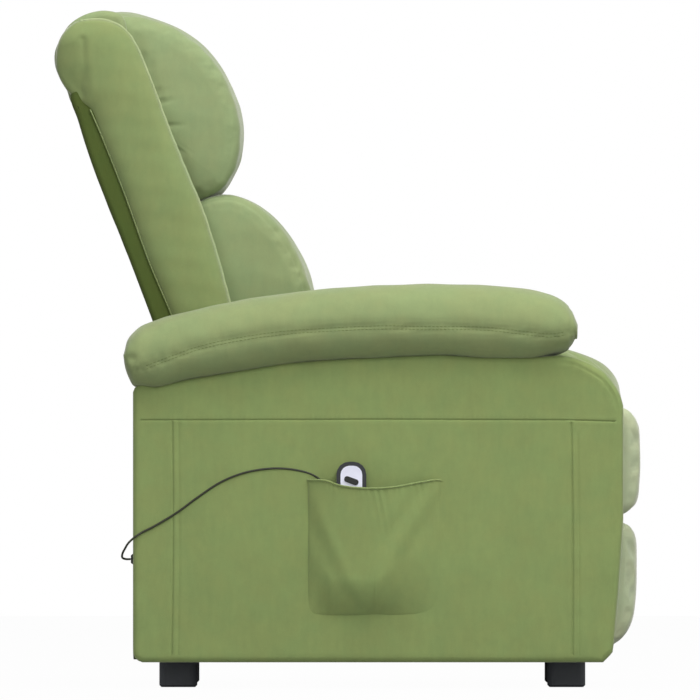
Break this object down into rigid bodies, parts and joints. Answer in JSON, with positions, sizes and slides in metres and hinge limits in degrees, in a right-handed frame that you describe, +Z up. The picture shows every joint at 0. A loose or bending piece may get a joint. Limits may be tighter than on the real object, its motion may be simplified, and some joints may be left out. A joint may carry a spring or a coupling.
{
  "type": "lift recliner chair",
  "caption": "Upright lift recliner armchair in green velvet, with padded arms, a folding footrest, a side pocket and a corded handset.",
  "frame": {"origin": "bottom centre of the chair's box, on the floor", "axes": "+Z up, the sitter faces -Y, +X is towards the sitter's left"},
  "size_m": [0.81, 0.8641, 0.9999],
  "materials": {
    "velvet": "short pile velvet",
    "lining": "short pile velvet in shade",
    "timber": "planed pine",
    "frame_steel": "satin powder coat",
    "link_steel": "zinc plated",
    "spring_steel": "plain steel strip",
    "black_plastic": "fine grain moulding",
    "pale_plastic": "smooth moulding",
    "rubber": "matt"
  },
  "bodies": {
    "base": {"base_rail_left": "frame_steel", "base_rail_right": "frame_steel", "foot_front_left": "black_plastic", "foot_front_right": "black_plastic", "foot_rear_left": "black_plastic", "foot_rear_right": "black_plastic", "base_cross_front": "frame_steel", "base_cross_rear": "frame_steel", "base_bracket_left": "frame_steel", "base_bracket_right": "frame_steel"},
    "lift_rear_links": {"lift_rear_link_left": "link_steel", "lift_rear_link_right": "link_steel", "lift_torque_tube": "link_steel"},
    "lift_front_links": {"lift_front_link_left": "link_steel", "lift_front_link_right": "link_steel"},
    "actuator_body": {"lift_motor_unit": "black_plastic"},
    "actuator_rod": {"lift_actuator_rod": "link_steel"},
    "chair": {"mechanism_plate_left": "frame_steel", "mechanism_plate_right": "frame_steel", "mechanism_tie": "frame_steel", "seat_rail_left": "timber", "seat_rail_right": "timber", "seat_rail_front": "timber", "seat_rail_rear": "timber", "seat_spring_mat": "spring_steel", "seat_cushion": "velvet", "side_panel_left": "velvet", "side_panel_right": "velvet", "arm_frame_left": "velvet", "arm_frame_right": "velvet", "arm_pad_left": "velvet", "arm_pad_right": "velvet", "rear_valance": "lining", "control_box": "black_plastic", "side_pocket": "velvet", "cord_grommet": "rubber", "handset_cord": "rubber"},
    "back": {"back_upright_left": "frame_steel", "back_upright_right": "frame_steel", "back_board": "timber", "back_outer_panel": "lining", "headrest_cushion": "velvet", "lumbar_cushion": "velvet", "back_wing_left": "velvet", "back_wing_right": "velvet"},
    "footrest_rear_links": {"footrest_rear_link_left": "link_steel", "footrest_rear_link_right": "link_steel"},
    "footrest_long_links": {"footrest_long_link_left": "link_steel", "footrest_long_link_right": "link_steel"},
    "footrest_cranks": {"footrest_crank_left": "link_steel", "footrest_crank_right": "link_steel"},
    "footrest_short_links": {"footrest_short_link_left": "link_steel", "footrest_short_link_right": "link_steel"},
    "footrest": {"footrest_board": "frame_steel", "footrest_pad_upper": "velvet", "footrest_pad_lower": "velvet"},
    "handset": {"handset_case": "black_plastic", "handset_face_plate": "pale_plastic"},
    "handset_button_up": {"handset_button_up": "rubber"},
    "handset_button_down": {"handset_button_down": "rubber"}
  },
  "joints": [
    {"name": "lift", "type": "hinge", "parent": "base", "child": "lift_rear_links", "pos_m": [0, -0.245, 0.106], "axis": [1, 0, 0], "range_deg": [0, 50]},
    {"name": "chair_tilt", "type": "hinge", "parent": "lift_rear_links", "child": "chair", "pos_m": [0, 0.185, 0.118], "axis": [1, 0, 0], "range_deg": [-27, 0]},
    {"name": "lift_front", "type": "hinge", "parent": "base", "child": "lift_front_links", "pos_m": [0, -0.288, 0.088], "axis": [1, 0, 0], "range_deg": [0, 55]},
    {"name": "actuator_swing", "type": "hinge", "parent": "base", "child": "actuator_body", "pos_m": [0, -0.305, 0.084], "axis": [1, 0, 0], "range_deg": [0, 48]},
    {"name": "actuator_extend", "type": "slide", "parent": "actuator_body", "child": "actuator_rod", "axis": [0, 0.8008, 0.5989], "range_m": [0, 0.101]},
    {"name": "back_recline", "type": "hinge", "parent": "chair", "child": "back", "pos_m": [0, 0.2, 0.34], "axis": [-1, 0, 0], "range_deg": [0, 32]},
    {"name": "footrest_extend", "type": "hinge", "parent": "chair", "child": "footrest_rear_links", "pos_m": [0, -0.24, 0.235], "axis": [-1, 0, 0], "range_deg": [0, 90]},
    {"name": "footrest_long", "type": "hinge", "parent": "footrest_rear_links", "child": "footrest_long_links", "pos_m": [0, -0.16, 0.09], "axis": [1, 0, 0], "range_deg": [0, 90]},
    {"name": "footrest_pad_turn", "type": "hinge", "parent": "footrest_long_links", "child": "footrest", "pos_m": [0, -0.334, 0.284], "axis": [-1, 0, 0], "range_deg": [0, 90]},
    {"name": "footrest_crank", "type": "hinge", "parent": "chair", "child": "footrest_cranks", "pos_m": [0, -0.2748, 0.2738], "axis": [-1, 0, 0], "range_deg": [0, 90]},
    {"name": "footrest_short", "type": "hinge", "parent": "footrest_cranks", "child": "footrest_short_links", "pos_m": [0, -0.1948, 0.0838], "axis": [1, 0, 0], "range_deg": [0, 90]},
    {"name": "handset_lift", "type": "slide", "parent": "chair", "child": "handset", "axis": [0, 0, 1], "range_m": [0, 0.13]},
    {"name": "handset_up_press", "type": "slide", "parent": "handset", "child": "handset_button_up", "axis": [1, 0, 0], "range_m": [0, 0.001], "stiffness_N_per_m": 400, "springref_m": -0.001},
    {"name": "handset_down_press", "type": "slide", "parent": "handset", "child": "handset_button_down", "axis": [1, 0, 0], "range_m": [0, 0.001], "stiffness_N_per_m": 400, "springref_m": -0.001}
  ],
  "couplings": [
    {"joint": "chair_tilt", "follows": "lift", "ratio": -0.54},
    {"joint": "lift_front", "follows": "lift", "ratio": 1.1},
    {"joint": "actuator_swing", "follows": "lift", "ratio": 0.95686},
    {"joint": "actuator_extend", "follows": "lift", "m_per_rad": 0.11466},
    {"joint": "footrest_long", "follows": "footrest_extend", "ratio": 1},
    {"joint": "footrest_pad_turn", "follows": "footrest_extend", "ratio": 1},
    {"joint": "footrest_crank", "follows": "footrest_extend", "ratio": 1},
    {"joint": "footrest_short", "follows": "footrest_extend", "ratio": 1}
  ]
}
